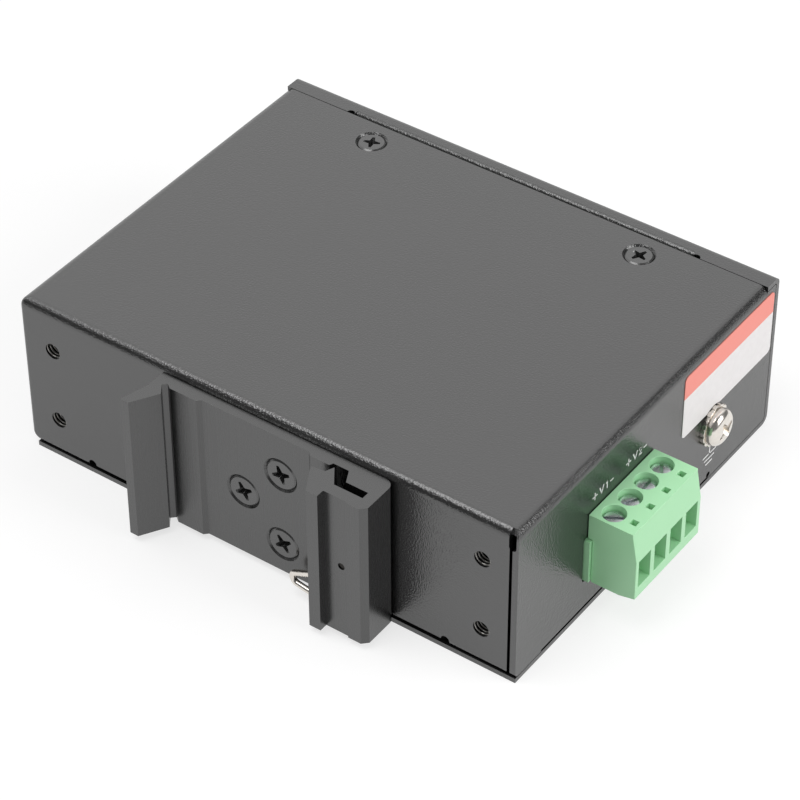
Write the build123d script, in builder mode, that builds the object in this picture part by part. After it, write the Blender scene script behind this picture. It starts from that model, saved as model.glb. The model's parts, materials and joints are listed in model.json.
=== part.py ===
"""Industrial PoE splitter in a folded steel case with a clip for a mounting rail.

The rail clip is on the rear (-Y), the power output's plug-in terminal block on the right-hand
side (+X), and the two network sockets in the front panel (+Y). The origin is the middle of the
case's underside. Millimetres.
"""
from build123d import *
import os

# Case
case_length = 108.0
case_depth = 84.0
case_height = 34.5
cover_sheet = 1.2
base_sheet = 1.0
seam_gap = 0.15
roof_fold_radius = 1.8
panel_fold_radius = 1.8
strip_fold_radius = 1.4
strip_width = 4.1
base_inset = 1.5

half_length = case_length / 2
rear_y = -case_depth / 2
front_y = case_depth / 2
roof_edge_y = front_y - strip_width - seam_gap
panel_back_y = front_y - base_sheet
cover_bottom = base_sheet + seam_gap
roof_inside = case_height - cover_sheet
rear_inside_y = rear_y + cover_sheet
wall_inside_x = half_length - cover_sheet

# Tabs of the base that stand behind the cover
tab_half_width = 38.4
tab_height = 12.0
side_tab_height = 5.6
side_tab_rear_inset = 8.0
side_tab_front_inset = 21.2
shadow_gap = 0.8
relief_radius = 0.9
relief_offset = 1.0
side_relief_radius = 0.6

# Corner seams
corner_slot_width = 1.5
corner_slot_length = 7.0
corner_slot_z = 33.8
corner_seam_gap = 0.6
corner_radius = 1.8
seam_corner_radius = 1.0

# Joggled tab under the roof's front edge
joggle_half_width = 38.0
joggle_start = 1.3
joggle_overlap = 0.4
joggle_flat = 0.1
joggle_length = 1.1
joggle_bend = 0.55
joggle_tab_length = 14.0
strip_relief_radius = 0.8

# Screws and threads, by nominal size
m4_major = 4.0
m4_minor = 3.3
m3_major = 3.0
thread_clearance = 0.05
countersink_margin = 0.3
countersunk_edge = 0.25
recess_width_share = 0.13
recess_length_share = 0.56
recess_depth_share = 0.15
pan_rim_share = 0.55
pan_recess_width_share = 0.26
pan_recess_length_share = 1.05
pan_recess_depth_share = 0.6
burr_wall = 0.9
burr_length = 1.5

# Holes in the rear flange for another bracket
rear_hole_inset = 7.2
rear_hole_spacing_z = 16.3
rear_hole_middle_z = 17.05

# Screws in the roof
roof_screw_spacing = 60.0
roof_screw_inset = 9.4
roof_screw_head = 5.4
roof_screw_sink = 0.12
roof_screw_length = 5.0
tab_countersink = 0.35

# Rail clip, an extrusion along Z. Each depth is measured outwards from the rear flange.
clip_bottom = 1.5
clip_top = 33.0
clip_plate = 2.0
foot_depth = 2.75
foot_bevel = 0.75
left_edge_x = -20.9
left_foot_end_x = -11.5
blade_tip_x = -22.5
blade_tip_depth = 9.9
blade_width = 1.8
blade_bend_depth = 4.3
left_lip_x = -17.6
lip_depth = 4.75
left_groove_x = -19.0
right_foot_x = 12.4
right_foot_end_x = 17.2
right_lip_x = 14.8
nose_x = 18.3
nose_depth = 2.7
lip_outer_x = 17.8
lip_outer_depth = 10.2
lip_outer_width = 2.4
block_depth = 8.5
block_step = 0.3
block_step_x = 25.1
block_end_x = 28.9
block_chamfer = 1.1
block_end_radius = 1.8
channel_left_x = 20.8
channel_right_x = 26.7
channel_inner_depth = 4.6
channel_outer_depth = 6.2
channel_root_x = 22.1
window_height = 10.6
window_left_margin = 1.5
window_right_margin = 0.4
window_floor_clearance = 0.01

# Screws of the rail clip, from left to right
clip_screw_places = [(-2.4, 16.1), (6.0, 24.2), (6.0, 8.0)]
clip_screw_major = 3.5
clip_screw_head = 6.4
clip_screw_length = 6.0
clip_screw_sink = 0.1

# Wire spring of the rail clip
wire_diameter = 1.2
wire_run_x = 23.7
wire_top_z = 17.4
wire_turn_z = 12.5
wire_tip_x = 6.4
wire_tip_z = 3.2
wire_tip_depth = 3.9
wire_end_x = 21.0
wire_end_z = 2.2
wire_end_depth = 5.0
wire_bend = 0.8
wire_tip_bend = 1.3
wire_end_sink = 0.2
pin_hole_clearance = 0.1

# Circuit board
board_thickness = 1.6
standoff_height = 5.4
board_left_inset = 3.0
board_right_inset = 2.8
board_rear_inset = 5.5
board_front_inset = 2.5
board_hole_end_inset = 8.0
board_hole_rear_inset = 10.5
board_hole_front_inset = 8.0
board_hole_radius = 1.6
board_bottom = base_sheet + standoff_height
board_top = board_bottom + board_thickness
standoff_across_flats = 5.5
standoff_spigot_radius = 2.0
standoff_bore_depth = 4.4
press_clearance = 0.02
board_screw_head_radius = 2.6
board_screw_head_height = 1.8
board_screw_length = 5.5

# Terminal block: four poles along Y
pole_count = 4
pole_pitch = 5.08
terminal_y = -10.0
header_depth = 12.5
header_reach = 1.0
header_height = 9.4
header_floor = 1.2
header_roof = 0.5
header_side = 0.7
header_back = 2.0
pin_width = 1.0
pin_bend_share = 0.6
pin_z = 12.2
pin_reach = 9.0
pin_tail_below = 1.8
pin_hole_radius = 0.78
cutout_side_gap = 0.45
cutout_rise_gap = 0.4
cutout_radius = 0.8

plug_top = 23.0
plug_bottom = 7.7
plug_reach = 10.0
plug_side_margin = 0.29
plug_wall_gap = 0.1
plug_slot_gap = 0.15
plug_insert_depth = 8.0
nose_bottom_rise = 0.7
nose_start = 3.2
slope_bottom = 17.0
slope_run = 0.95
slope_lip = 0.6
well_radius = 2.2
well_depth = 3.0
well_from_wall = 3.4
test_hole_width = 1.3
test_hole_from_wall = 7.45
entry_width = 3.8
entry_bottom = 10.6
entry_top = 16.6
chamber_width_x = 4.2
chamber_width_y = 4.1
chamber_bottom = 9.0
chamber_top = 19.3

cage_gap = 0.1
cage_bottom = 10.0
cage_height = 6.5
cage_floor = 1.0
cage_roof = 1.5
cage_window_width = 3.1
clamp_head_radius = 1.95
clamp_head_height = 1.9
clamp_slot_width = 0.6
clamp_slot_depth = 0.9
clamp_slot_turn = 30
clamp_hole_clearance = 0.03

contact_bar_width = 2.2
contact_bar_thickness = 0.8
contact_bar_top = 14.8
contact_leaf = 0.35
contact_gap = 0.05
contact_mouth_inset = 6.5
contact_web_inset = 0.8

# Earth screw
earth_front_inset = 21.3
earth_z = 14.3
earth_head_radius = 3.7
earth_head_height = 2.2
earth_screw_length = 8.0
washer_thickness = 0.9
washer_radius = 4.2
washer_teeth = 14
tooth_gap_width = 0.75
tooth_gap_depth = 0.5
nut_radius = 4.0
nut_height = 3.0
nut_spigot_radius = 2.7
nut_chamfer = 0.3

# Side label
label_length = 30.4
label_front_inset = 1.6
label_bottom_z = 18.1
label_top_z = 32.2
label_thickness = 0.1
label_radius = 1.0
label_relief = 0.1

# Network sockets and lamps in the front panel, each row counted from its own end of the case
jack_count = 2
jack_end_inset = 24.0
jack_pitch = 20.0
jack_width = 16.0
jack_height = 13.4
jack_depth = 21.9
jack_sheet = 0.4
jack_setback = 0.1
jack_panel_gap = 0.15
port_width = 11.8
port_height = 6.8
port_floor = 1.6
port_depth = 13.0
latch_width = 6.2
latch_height = 1.6
key_width = 4.2
key_height = 1.2
contact_count = 8
contact_pitch = 1.02
contact_wire = 0.45
contact_setback = 2.0
contact_back_margin = 0.6
contact_rise = 1.7
lamp_count = 3
lamp_end_inset = 24.0
lamp_pitch = 8.0
lamp_z = 14.7
lamp_radius = 1.5
lamp_hole_clearance = 0.1
lamp_stem = 2.5
lamp_dome_share = 0.6
lamp_holder = 5.0

# Power electronics on the board, placed from the case's middle or inwards from the wall named
line_transformer_size = (17.0, 12.0, 6.5)
line_transformer_radius = 0.5
line_transformer_jack_gap = 6.0
transformer_lead_count = 6
transformer_lead_pitch = 2.54
transformer_lead_size = (0.6, 1.2, 0.6)
bridge_xs = [-36.0, -24.0]
bridge_y = -8.0
bridge_size = (8.0, 8.0, 3.0)
input_capacitor_xs = [-38.0, -24.0]
input_capacitor_y = -25.0
input_capacitor_radius = 5.0
input_capacitor_height = 18.0
output_capacitor_wall_inset = 22.0
output_capacitor_ys = [-4.0, -14.0]
output_capacitor_radius = 4.0
output_capacitor_height = 16.0
capacitor_groove = 0.5
capacitor_groove_z = 2.2
cut_margin = 0.1
choke_size = 12.0
choke_height = 8.0
choke_radius = 2.0
choke_dish_share = 0.36
choke_dish_depth = 0.4
input_choke_x = 28.0
input_choke_y = -27.0
output_choke_x = 24.0
output_choke_front_inset = 30.0
transformer_x = 4.0
transformer_y = -20.0
core_width = 20.0
core_depth = 9.0
core_height = 17.0
core_leg = 4.0
core_centre_leg = 5.0
core_gap = 0.25
core_lift = 1.0
winding_depth = 15.0
winding_radius = 1.5
winding_foot = 1.8
primary_chip_x = -8.0
primary_chip_y = -6.0
output_chip_x = 14.0
output_chip_y = 0.0
control_chip_x = 9.0
control_chip_front_inset = 28.0
chip_size = (5.0, 6.0, 1.6)
chip_lead_count = 4
chip_lead_pitch = 1.27
chip_lead_size = (0.45, 1.0, 0.5)
small_part_size = (3.2, 1.6, 1.2)
small_part_pitch_x = 6.4
small_part_pitch_y = 4.0
small_part_column_count = 3
small_part_row_count = 4
small_part_x = 14.0
small_part_front_inset = 16.0

# Tolerance for finding an edge at a known place
edge_tolerance = 0.01

# Places that follow from the sizes above
rear_hole_spacing_x = case_length - 2 * rear_hole_inset
roof_screw_y = front_y - roof_screw_inset
side_tab_start = rear_y + side_tab_rear_inset
side_tab_end = front_y - side_tab_front_inset
board_left_x = board_left_inset - half_length
board_right_x = half_length - board_right_inset
board_rear_y = rear_y + board_rear_inset
board_front_y = front_y - board_front_inset
board_hole_x = half_length - board_hole_end_inset
board_hole_rear_y = rear_y + board_hole_rear_inset
board_hole_front_y = front_y - board_hole_front_inset
well_x = half_length + well_from_wall
test_hole_x = half_length + test_hole_from_wall
contact_mouth_x = half_length - contact_mouth_inset
contact_web_x = half_length - contact_web_inset
earth_y = front_y - earth_front_inset
label_end_y = front_y - label_front_inset
label_start_y = label_end_y - label_length
jack_centres = [jack_end_inset - half_length + jack_pitch * index for index in range(jack_count)]
jack_front_y = front_y - jack_setback
jack_back_y = jack_front_y - jack_depth
lamp_xs = [half_length - lamp_end_inset - lamp_pitch * index for index in range(lamp_count)]
line_transformer_y = jack_back_y - line_transformer_jack_gap - line_transformer_size[1] / 2
output_capacitor_x = half_length - output_capacitor_wall_inset
choke_places = [(input_choke_x, input_choke_y), (output_choke_x, front_y - output_choke_front_inset)]
chip_places = [
    (primary_chip_x, primary_chip_y),
    (output_chip_x, output_chip_y),
    (control_chip_x, front_y - control_chip_front_inset),
]
pole_ys = [terminal_y + pole_pitch * (pole - (pole_count - 1) / 2) for pole in range(pole_count)]
plug_half_width = pole_count * pole_pitch / 2 + plug_side_margin
header_half_width = pole_count * pole_pitch / 2 + header_side + plug_side_margin
header_front_x = half_length + header_reach
header_back_x = header_front_x - header_depth
header_top = board_top + header_height
plug_front_x = half_length + plug_reach


def block(x0, x1, y0, y1, z0, z1, mode=Mode.ADD):
    """A box between two corners, in the sub-part that is being made."""
    with Locations(((x0 + x1) / 2, (y0 + y1) / 2, (z0 + z1) / 2)):
        Box(x1 - x0, y1 - y0, z1 - z0, mode=mode)


def cross_recess(width, length, depth):
    """The cross recess in a screw head whose top is at Z 0."""
    for angle in (0, 90):
        with Locations(Location((0, 0, -depth / 2), (0, 0, angle))):
            Box(length, width, depth, mode=Mode.SUBTRACT)


def countersunk_screw(head_diameter, shank_diameter, length):
    """A countersunk screw with its head's flat top at Z 0 and its shank down -Z."""
    head_radius = head_diameter / 2
    shank_radius = shank_diameter / 2
    with BuildPart() as screw:
        with BuildSketch(Plane.XZ):
            with BuildLine():
                Polyline(
                    (0, 0),
                    (head_radius, 0),
                    (head_radius, -countersunk_edge),
                    (shank_radius, -countersunk_edge - head_radius + shank_radius),
                    (shank_radius, -length),
                    (0, -length),
                    close=True,
                )
            make_face()
        revolve(axis=Axis.Z)
        cross_recess(
            head_diameter * recess_width_share,
            head_diameter * recess_length_share,
            head_diameter * recess_depth_share,
        )
    return screw.part


def pan_screw(head_radius, head_height, shank_diameter, length):
    """A pan-head screw with the underside of its head at Z 0 and its shank down -Z."""
    with BuildPart() as screw:
        Cylinder(head_radius, head_height, align=(Align.CENTER, Align.CENTER, Align.MIN))
        rim = screw.edges().filter_by(GeomType.CIRCLE).sort_by(Axis.Z)[-1]
        fillet(rim, head_height * pan_rim_share)
        with Locations((0, 0, -length)):
            Cylinder(shank_diameter / 2, length, align=(Align.CENTER, Align.CENTER, Align.MIN))
        with Locations((0, 0, head_height)):
            cross_recess(
                head_radius * pan_recess_width_share,
                head_radius * pan_recess_length_share,
                head_height * pan_recess_depth_share,
            )
    return screw.part


os.makedirs("parts", exist_ok=True)
rear_outside = Plane.XZ.offset(-rear_y)
rear_inside = Plane.XZ.offset(-rear_inside_y)
wall_outside = Plane.YZ.offset(half_length)
rear_holes = [
    (side * rear_hole_spacing_x / 2, rear_hole_middle_z + level * rear_hole_spacing_z / 2)
    for side in (-1, 1)
    for level in (-1, 1)
]
roof_screw_xs = (-roof_screw_spacing / 2, roof_screw_spacing / 2)

# Cover: one sheet folded into the roof, the rear flange and two side walls
with BuildPart() as cover:
    with BuildSketch(Plane.XY.offset(cover_bottom)):
        with Locations((0, (rear_y + roof_edge_y) / 2)):
            Rectangle(case_length, roof_edge_y - rear_y)
    extrude(amount=case_height - cover_bottom)
    fillet(cover.faces().sort_by(Axis.Z)[-1].edges().sort_by(Axis.Y)[:-1], roof_fold_radius)
    open_sides = [cover.faces().sort_by(Axis.Z)[0], cover.faces().sort_by(Axis.Y)[-1]]
    offset(amount=-cover_sheet, openings=open_sides)

    # Side walls reach forward under the return strip to the front panel
    wall_front_y = panel_back_y - seam_gap
    wall_top = case_height - base_sheet - seam_gap
    with BuildSketch(Plane.YZ):
        with BuildLine():
            outline = FilletPolyline(
                (roof_edge_y - cover_sheet, cover_bottom),
                (wall_front_y, cover_bottom),
                (wall_front_y, wall_top),
                (roof_edge_y + seam_gap, wall_top),
                (roof_edge_y - cover_sheet, wall_top - roof_fold_radius),
                radius=[panel_fold_radius - base_sheet, strip_fold_radius - base_sheet, 0],
            )
            Line(outline @ 1, outline @ 0)
        make_face()
    extrude(amount=half_length, both=True)
    block(-wall_inside_x, wall_inside_x, roof_edge_y - 2 * cover_sheet, front_y,
          cover_bottom, wall_top, mode=Mode.SUBTRACT)

    # Seam between the rear flange and each side wall, with an open relief in the right-hand corner
    block(wall_inside_x - corner_seam_gap, wall_inside_x, rear_y, rear_inside_y,
          cover_bottom, corner_slot_z, mode=Mode.SUBTRACT)
    with BuildSketch(rear_outside):
        with Locations((wall_inside_x, corner_slot_z)):
            SlotOverall(corner_slot_length, corner_slot_width, rotation=90)
    extrude(amount=-cover_sheet, mode=Mode.SUBTRACT)
    block(-half_length, -wall_inside_x, rear_inside_y, rear_inside_y + seam_gap,
          cover_bottom, corner_slot_z, mode=Mode.SUBTRACT)

    # Burred collars for the tapped holes
    with BuildSketch(rear_inside):
        with Locations(*rear_holes):
            Circle(m4_minor / 2 + burr_wall)
        with Locations(*clip_screw_places[:2]):
            Circle(clip_screw_major / 2 + burr_wall)
    extrude(amount=-burr_length)
    with BuildSketch(rear_outside):
        with Locations(*rear_holes):
            Circle(m4_minor / 2)
        with Locations(*clip_screw_places):
            Circle(clip_screw_major / 2)
    extrude(amount=-cover_sheet - burr_length, mode=Mode.SUBTRACT)

    # Shadow gap above the base plate, with a round relief at each end
    block(-tab_half_width - relief_offset, tab_half_width + relief_offset, rear_y, rear_inside_y,
          cover_bottom, cover_bottom + shadow_gap, mode=Mode.SUBTRACT)
    relief_x = tab_half_width + relief_offset
    with BuildSketch(rear_outside):
        with Locations((-relief_x, cover_bottom + shadow_gap), (relief_x, cover_bottom + shadow_gap)):
            Circle(relief_radius)
    extrude(amount=-cover_sheet, mode=Mode.SUBTRACT)
    block(wall_inside_x, half_length, side_tab_start, side_tab_end, cover_bottom,
          cover_bottom + shadow_gap / 2, mode=Mode.SUBTRACT)
    with BuildSketch(wall_outside):
        with Locations((side_tab_end, cover_bottom + shadow_gap)):
            Circle(side_relief_radius)
    extrude(amount=-cover_sheet, mode=Mode.SUBTRACT)

    # Cut-out for the terminal block and hole for the earth screw's nut
    with BuildSketch(wall_outside):
        with Locations((terminal_y, (board_top + header_top) / 2)):
            RectangleRounded(
                2 * (header_half_width + cutout_side_gap),
                header_height + 2 * cutout_rise_gap,
                cutout_radius,
            )
        with Locations((earth_y, earth_z)):
            Circle(nut_spigot_radius + press_clearance)
    extrude(amount=-cover_sheet, mode=Mode.SUBTRACT)

    # Countersunk holes in the roof
    with Locations(*[(x, roof_screw_y, case_height) for x in roof_screw_xs]):
        CounterSinkHole(
            radius=m3_major / 2 + 2 * thread_clearance,
            counter_sink_radius=roof_screw_head / 2 + roof_screw_sink + countersink_margin,
            depth=2 * cover_sheet,
        )

    # Rounded lower corners of the flange and the right-hand wall
    near_bottom = (cover_bottom - edge_tolerance, cover_bottom + edge_tolerance)
    low_edges = cover.edges().filter_by_position(Axis.Z, *near_bottom)
    flange_edges = low_edges.filter_by(Axis.Y).filter_by_position(Axis.Y, rear_y, rear_inside_y)
    left_corner = flange_edges.sort_by(Axis.X)[0]
    fillet(left_corner, corner_radius)
    seam_x = wall_inside_x - corner_seam_gap
    low_edges = cover.edges().filter_by_position(Axis.Z, *near_bottom)
    seam_edges = low_edges.filter_by(Axis.Y)
    flange_corner = seam_edges.filter_by_position(Axis.X, seam_x - edge_tolerance, seam_x + edge_tolerance)
    wall_edges = low_edges.filter_by(Axis.X)
    wall_corner = wall_edges.filter_by_position(Axis.Y, rear_y - edge_tolerance, rear_y + edge_tolerance)
    fillet(flange_corner + wall_corner, seam_corner_radius)
cover.part.label = "cover"
export_step(cover.part, "parts/cover.step")

# Base tray: one sheet folded into the bottom plate, the front panel and the return strip
strip_middle = case_height - base_sheet / 2
tab_middle = strip_middle - cover_sheet - seam_gap
with BuildPart() as base_tray:
    with BuildSketch(Plane.YZ):
        with BuildLine():
            FilletPolyline(
                (rear_y, base_sheet / 2),
                (front_y - base_sheet / 2, base_sheet / 2),
                (front_y - base_sheet / 2, strip_middle),
                (front_y - strip_width, strip_middle),
                radius=[panel_fold_radius - base_sheet / 2, strip_fold_radius - base_sheet / 2],
            )
        trace(line_width=base_sheet)
    extrude(amount=half_length, both=True)
    block(-half_length, base_inset - half_length, rear_y, front_y - panel_fold_radius,
          0, base_sheet, mode=Mode.SUBTRACT)

    # Middle of the strip steps down into a tab that the roof lies on
    joggle_y = front_y - strip_width + joggle_start
    block(-joggle_half_width, joggle_half_width, front_y - strip_width, joggle_y,
          case_height - base_sheet, case_height, mode=Mode.SUBTRACT)
    with BuildSketch(Plane.YZ):
        with BuildLine():
            FilletPolyline(
                (joggle_y + joggle_overlap, strip_middle),
                (joggle_y - joggle_flat, strip_middle),
                (joggle_y - joggle_length, tab_middle),
                (joggle_y - joggle_tab_length, tab_middle),
                radius=joggle_bend,
            )
        trace(line_width=base_sheet)
    extrude(amount=joggle_half_width, both=True)
    strip_end_x = joggle_half_width + strip_relief_radius
    strip_edge_y = front_y - strip_width
    with Locations((-strip_end_x, strip_edge_y, strip_middle), (strip_end_x, strip_edge_y, strip_middle)):
        Cylinder(strip_relief_radius, base_sheet, mode=Mode.SUBTRACT)
    with BuildSketch(Plane.XY.offset(tab_middle - base_sheet / 2)):
        with Locations(*[(x, roof_screw_y) for x in roof_screw_xs]):
            Circle(m3_major / 2 + burr_wall)
    extrude(amount=-burr_length)
    with BuildSketch(Plane.XY.offset(case_height)):
        with Locations(*[(x, roof_screw_y) for x in roof_screw_xs]):
            Circle(m3_major / 2)
    extrude(amount=-3 * burr_length - cover_sheet, mode=Mode.SUBTRACT)
    tab_top = tab_middle + base_sheet / 2
    with Locations(*[(x, roof_screw_y, tab_top - tab_countersink / 2) for x in roof_screw_xs]):
        Cone(m3_major / 2, m3_major / 2 + tab_countersink, tab_countersink, mode=Mode.SUBTRACT)

    # Tab behind the rear flange, tapped for the lowest clip screw
    tab_outer_y = rear_inside_y + seam_gap
    with BuildSketch(Plane.YZ):
        with BuildLine():
            FilletPolyline(
                (tab_outer_y + 4 * base_sheet, base_sheet / 2),
                (tab_outer_y + base_sheet / 2, base_sheet / 2),
                (tab_outer_y + base_sheet / 2, tab_height),
                radius=base_sheet,
            )
        trace(line_width=base_sheet)
    extrude(amount=tab_half_width, both=True)
    low_screw_x, low_screw_z = clip_screw_places[-1]
    with BuildSketch(Plane.XZ.offset(-tab_outer_y - base_sheet)):
        with Locations((low_screw_x, low_screw_z)):
            Circle(clip_screw_major / 2 + burr_wall)
    extrude(amount=-burr_length)
    with BuildSketch(Plane.XZ.offset(-tab_outer_y)):
        with Locations((low_screw_x, low_screw_z)):
            Circle(clip_screw_major / 2)
    extrude(amount=-base_sheet - burr_length, mode=Mode.SUBTRACT)

    # Tab behind the right-hand wall
    side_tab_x = wall_inside_x - seam_gap
    block(side_tab_x - base_sheet, side_tab_x, side_tab_start, side_tab_end, base_sheet / 2, side_tab_height)

    # Socket openings and lamp holes in the front panel
    with BuildSketch(Plane.XZ.offset(-front_y)):
        with Locations(*[(x, board_top + jack_height / 2) for x in jack_centres]):
            Rectangle(jack_width + 2 * jack_panel_gap, jack_height + 2 * jack_panel_gap)
        with Locations(*[(x, lamp_z) for x in lamp_xs]):
            Circle(lamp_radius + lamp_hole_clearance)
    extrude(amount=base_sheet, mode=Mode.SUBTRACT)

    # Holes for the pressed-in standoffs
    board_holes = [
        (x, y)
        for x in (-board_hole_x, board_hole_x)
        for y in (board_hole_rear_y, board_hole_front_y)
    ]
    with BuildSketch(Plane.XY):
        with Locations(*board_holes):
            Circle(standoff_spigot_radius + press_clearance)
    extrude(amount=base_sheet, mode=Mode.SUBTRACT)
base_tray.part.label = "base_tray"
export_step(base_tray.part, "parts/base_tray.step")

# Screws in the roof
with BuildPart() as cover_screws:
    roof_screw = countersunk_screw(roof_screw_head, m3_major - 2 * thread_clearance, roof_screw_length)
    with Locations(*[(x, roof_screw_y, case_height - roof_screw_sink) for x in roof_screw_xs]):
        add(roof_screw)
cover_screws.part.label = "cover_screws"
export_step(cover_screws.part, "parts/cover_screws.step")


def clip_point(x, depth):
    """A point of the clip's section, its depth counted outwards from the rear flange."""
    return (x, rear_y - depth)


# Rail clip: an aluminium extrusion with a fixed hook on the left and a sprung one on the right
with BuildPart() as din_clip:
    with BuildSketch(Plane.XY.offset(clip_bottom)):
        with BuildLine():
            Polyline(
                clip_point(block_end_x, 0),
                clip_point(left_edge_x, 0),
                clip_point(left_edge_x, blade_bend_depth),
                clip_point(blade_tip_x, blade_tip_depth),
                clip_point(blade_tip_x + blade_width, blade_tip_depth),
                clip_point(left_lip_x, lip_depth),
                clip_point(left_groove_x, foot_depth),
                clip_point(left_groove_x + foot_bevel, clip_plate),
                clip_point(left_lip_x + foot_bevel / 2, foot_depth),
                clip_point(left_foot_end_x, foot_depth),
                clip_point(left_foot_end_x + foot_bevel, clip_plate),
                clip_point(right_foot_x, clip_plate),
                clip_point(right_foot_x + foot_bevel, foot_depth),
                clip_point(right_foot_end_x, foot_depth),
                clip_point(right_foot_end_x + foot_bevel / 2, clip_plate),
                clip_point(channel_left_x, clip_plate),
                clip_point(channel_root_x, channel_inner_depth),
                clip_point(channel_right_x, channel_inner_depth),
                clip_point(channel_right_x, channel_outer_depth),
                clip_point(channel_left_x, channel_outer_depth),
                clip_point(nose_x, nose_depth),
                clip_point(nose_x - foot_bevel, lip_depth - foot_bevel / 2),
                clip_point(right_lip_x, lip_depth),
                clip_point(lip_outer_x, lip_outer_depth),
                clip_point(lip_outer_x + lip_outer_width, lip_outer_depth),
                clip_point(lip_outer_x + lip_outer_width, block_depth),
                clip_point(block_step_x, block_depth),
                clip_point(block_step_x, block_depth + block_step),
                clip_point(block_end_x - block_chamfer, block_depth + block_step),
                clip_point(block_end_x, block_depth + block_step - block_chamfer),
                close=True,
            )
        make_face()
        seat_corner = vertices().sort_by_distance(clip_point(block_end_x, 0))[0]
        fillet(seat_corner, block_end_radius)
    extrude(amount=clip_top - clip_bottom)

    # Window for the spring at the lower end of the right-hand hook
    block(right_lip_x - window_left_margin, channel_left_x + window_right_margin,
          rear_y - channel_outer_depth, rear_y - foot_depth - window_floor_clearance,
          clip_bottom, clip_bottom + window_height, mode=Mode.SUBTRACT)

    # Hole that holds the spring's end
    with BuildSketch(rear_outside.offset(block_depth)):
        with Locations((wire_run_x, wire_top_z)):
            Circle(wire_diameter / 2 + pin_hole_clearance)
    extrude(amount=-(block_depth - channel_outer_depth), mode=Mode.SUBTRACT)

    # Countersunk holes for the three clip screws
    with Locations(*[
        Plane(origin=(x, rear_y - clip_plate, z), x_dir=(1, 0, 0), z_dir=(0, -1, 0))
        for x, z in clip_screw_places
    ]):
        CounterSinkHole(
            radius=clip_screw_major / 2 + 2 * thread_clearance,
            counter_sink_radius=clip_screw_head / 2 + clip_screw_sink + countersink_margin,
            depth=2 * clip_plate,
        )
din_clip.part.label = "din_clip"
export_step(din_clip.part, "parts/din_clip.step")

# Screws of the rail clip
with BuildPart() as clip_screws:
    clip_shank = clip_screw_major - 2 * thread_clearance
    clip_screw = countersunk_screw(clip_screw_head, clip_shank, clip_screw_length)
    with Locations(*[
        Plane(origin=(x, rear_y - clip_plate + clip_screw_sink, z), x_dir=(1, 0, 0), z_dir=(0, -1, 0))
        for x, z in clip_screw_places
    ]):
        add(clip_screw)
clip_screws.part.label = "clip_screws"
export_step(clip_screws.part, "parts/clip_screws.step")

# Wire spring: hooked into the block, down its channel, and out into the rail groove
wire_depth = (channel_inner_depth + channel_outer_depth) / 2
with BuildPart() as clip_spring_wire:
    with BuildLine() as wire_path:
        FilletPolyline(
            (wire_run_x, rear_y - block_depth + wire_end_sink, wire_top_z),
            (wire_run_x, rear_y - wire_depth, wire_top_z),
            (wire_run_x, rear_y - wire_depth, wire_turn_z),
            (wire_tip_x, rear_y - wire_tip_depth, wire_tip_z),
            (wire_end_x, rear_y - wire_end_depth, wire_end_z),
            radius=[wire_bend, wire_bend, wire_tip_bend],
        )
    with BuildSketch(Plane(origin=wire_path.line @ 0, z_dir=wire_path.line % 0)):
        Circle(wire_diameter / 2)
    sweep(path=wire_path.line)
clip_spring_wire.part.label = "clip_spring_wire"
export_step(clip_spring_wire.part, "parts/clip_spring_wire.step")

# Earth screw, its toothed washer and the press-in nut inside the wall
earth_plane = Plane(origin=(half_length, earth_y, earth_z), x_dir=(0, 1, 0), z_dir=(1, 0, 0))
with BuildPart() as ground_screw:
    with Locations(earth_plane.offset(washer_thickness)):
        add(pan_screw(
            earth_head_radius,
            earth_head_height,
            m4_major - 2 * thread_clearance,
            earth_screw_length,
        ))
ground_screw.part.label = "ground_screw"
export_step(ground_screw.part, "parts/ground_screw.step")

with BuildPart() as ground_washer:
    with BuildSketch(earth_plane):
        Circle(washer_radius)
        with PolarLocations(washer_radius, washer_teeth):
            Rectangle(tooth_gap_depth, tooth_gap_width, mode=Mode.SUBTRACT)
        Circle(m4_major / 2 + 2 * thread_clearance, mode=Mode.SUBTRACT)
    extrude(amount=washer_thickness)
ground_washer.part.label = "ground_washer"
export_step(ground_washer.part, "parts/ground_washer.step")

with BuildPart() as ground_nut:
    with BuildSketch(earth_plane.offset(-cover_sheet)):
        Circle(nut_radius)
    extrude(amount=-nut_height)
    with BuildSketch(earth_plane.offset(-cover_sheet)):
        Circle(nut_spigot_radius)
    extrude(amount=cover_sheet - seam_gap)
    with BuildSketch(earth_plane):
        Circle(m4_major / 2)
    extrude(amount=-cover_sheet - nut_height, mode=Mode.SUBTRACT)
    chamfer(ground_nut.edges().filter_by(GeomType.CIRCLE).sort_by(Axis.X)[:2], nut_chamfer)
ground_nut.part.label = "ground_nut"
export_step(ground_nut.part, "parts/ground_nut.step")

# Label: a thin sticker with rounded corners
with BuildPart() as side_label:
    with BuildSketch(wall_outside):
        with Locations(((label_start_y + label_end_y) / 2, (label_bottom_z + label_top_z) / 2)):
            RectangleRounded(label_end_y - label_start_y, label_top_z - label_bottom_z, label_radius)
        with Locations((earth_y, earth_z)):
            Circle(washer_radius + label_relief, mode=Mode.SUBTRACT)
    extrude(amount=label_thickness)
side_label.part.label = "side_label"
export_step(side_label.part, "parts/side_label.step")

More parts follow.
